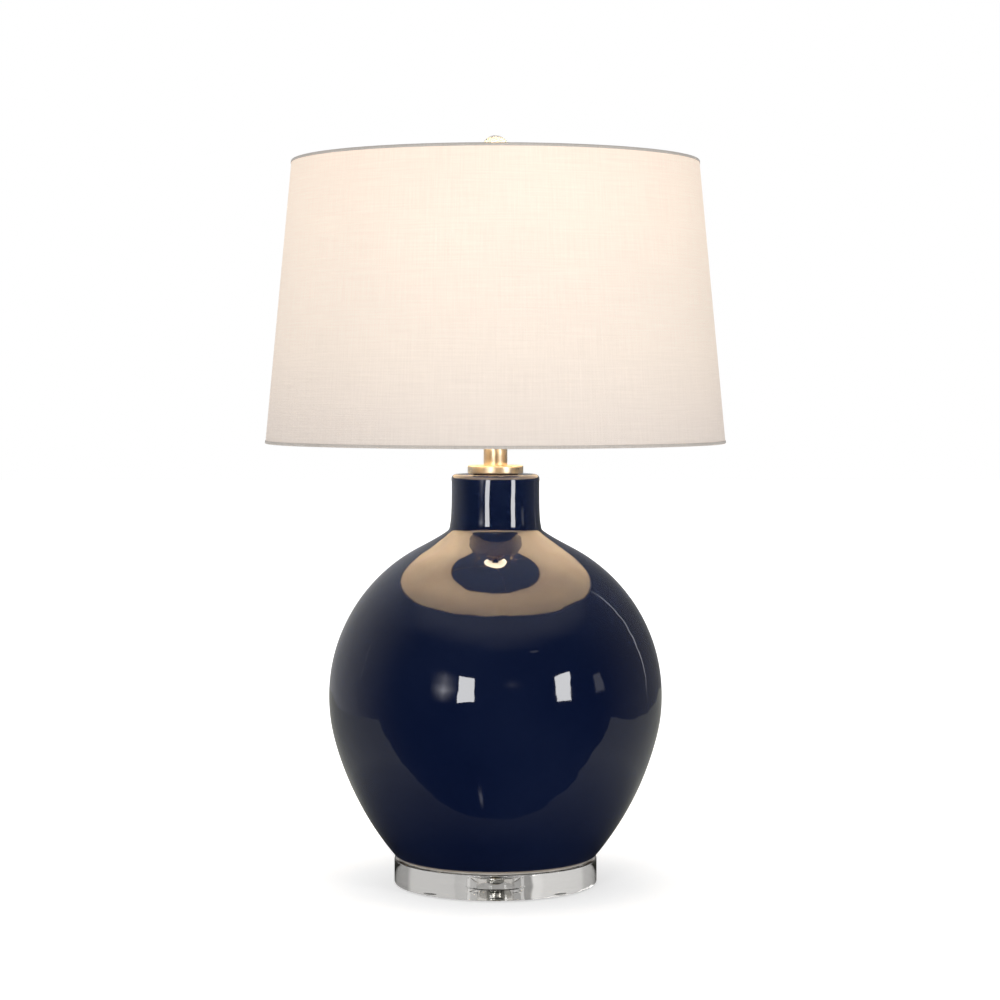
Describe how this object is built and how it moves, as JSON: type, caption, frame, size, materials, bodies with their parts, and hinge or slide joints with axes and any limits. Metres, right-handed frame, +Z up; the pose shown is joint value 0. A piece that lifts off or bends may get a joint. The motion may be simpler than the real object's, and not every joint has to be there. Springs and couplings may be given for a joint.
{
  "type": "table lamp",
  "caption": "Table lamp with a round glazed ceramic body on a clear disc, a brass neck, a harp with bulb and socket, a tapered drum shade and a crystal ball finial.",
  "frame": {"origin": "on the table, under the middle of the lamp", "axes": "+Z up along the lamp, -Y towards the viewer, X across the harp"},
  "size_m": [0.4063, 0.4064, 0.662],
  "materials": {
    "clear_acrylic": "clear cast acrylic, polished edge",
    "clear_bumper": "clear soft bumper, satin",
    "gasket": "translucent soft ring, matt",
    "zinc_steel": "zinc plated, satin",
    "pipe_steel": "brass-plated threaded pipe",
    "navy_glaze": "deep navy glaze, high gloss, slightly uneven",
    "black_plastic": "moulded, satin",
    "black_rubber": "matt",
    "satin_brass": "light gold brass, finely polished",
    "harp_brass": "brass-plated wire, polished",
    "socket_brass": "thin drawn shell, polished",
    "liner_card": "plain fibre sleeve",
    "bulb_metal": "rolled thread, bright",
    "black_glass": "black moulded insulator",
    "bulb_glass": "frosted glass, lit warm white",
    "spider_brass": "brass-plated wire",
    "shade_liner": "white styrene liner, matt",
    "shade_linen": "warm white linen, plain weave",
    "shade_hem": "rolled linen hem, double layer",
    "crystal": "clear crystal, polished"
  },
  "bodies": {
    "stand": {"base_disc": "clear_acrylic", "base_bumpers": "clear_bumper", "foot_gasket": "gasket", "base_washer": "zinc_steel", "base_lock_washer": "zinc_steel", "base_nut": "zinc_steel", "threaded_pipe": "pipe_steel", "vase": "navy_glaze", "cord_bushing": "black_plastic", "neck_washer": "black_rubber", "neck_cap": "satin_brass", "neck_tube": "satin_brass", "harp_saddle": "harp_brass", "saddle_nut": "harp_brass", "socket_cap": "socket_brass", "cap_set_screw": "zinc_steel", "socket_shell": "socket_brass", "shell_liner": "liner_card", "socket_core": "black_plastic", "terminal_screws": "zinc_steel", "screw_shell": "socket_brass", "centre_contact": "socket_brass"},
    "switch_key": {"switch_shaft": "socket_brass", "switch_knob": "black_plastic"},
    "bulb_thread": {"bulb_contact": "bulb_metal", "bulb_insulator": "black_glass"},
    "bulb": {"bulb_base": "bulb_metal", "bulb_glass": "bulb_glass"},
    "harp": {"harp_wire": "harp_brass", "harp_seat": "harp_brass"},
    "left_ferrule": {"ferrule_left": "harp_brass"},
    "right_ferrule": {"ferrule_right": "harp_brass"},
    "shade": {"spider": "spider_brass", "top_ring": "spider_brass", "bottom_ring": "spider_brass", "shade_liner": "shade_liner", "shade_fabric": "shade_linen", "top_trim": "shade_hem", "bottom_trim": "shade_hem"},
    "finial_thread": {"finial_insert": "zinc_steel"},
    "finial": {"finial_base": "satin_brass", "finial_ball": "crystal"}
  },
  "joints": [
    {"name": "switch_turn", "type": "hinge", "parent": "stand", "child": "switch_key", "pos_m": [0, 0, 0.4341], "axis": [0, -1, 0], "continuous": true},
    {"name": "bulb_lift", "type": "slide", "parent": "stand", "child": "bulb_thread", "axis": [0, 0, 1], "range_m": [0, 0.0182]},
    {"name": "bulb_turn", "type": "hinge", "parent": "bulb_thread", "child": "bulb", "pos_m": [0, 0, 0.46], "axis": [0, 0, 1], "range_deg": [0, 1800]},
    {"name": "harp_lift", "type": "slide", "parent": "stand", "child": "harp", "axis": [0, 0, 1], "range_m": [0, 0.03]},
    {"name": "left_ferrule_slide", "type": "slide", "parent": "harp", "child": "left_ferrule", "axis": [0, 0, 1], "range_m": [0, 0.014]},
    {"name": "right_ferrule_slide", "type": "slide", "parent": "harp", "child": "right_ferrule", "axis": [0, 0, 1], "range_m": [0, 0.014]},
    {"name": "shade_swivel", "type": "hinge", "parent": "harp", "child": "shade", "pos_m": [0, 0, 0.626], "axis": [0, 0, 1], "continuous": true},
    {"name": "finial_lift", "type": "slide", "parent": "harp", "child": "finial_thread", "axis": [0, 0, 1], "range_m": [0, 0.0095]},
    {"name": "finial_turn", "type": "hinge", "parent": "finial_thread", "child": "finial", "pos_m": [0, 0, 0.632], "axis": [0, 0, 1], "range_deg": [0, 3600]}
  ],
  "couplings": [
    {"joint": "bulb_lift", "follows": "bulb_turn", "m_per_rad": 0.0005775},
    {"joint": "finial_lift", "follows": "finial_turn", "m_per_rad": 0.00014972}
  ]
}
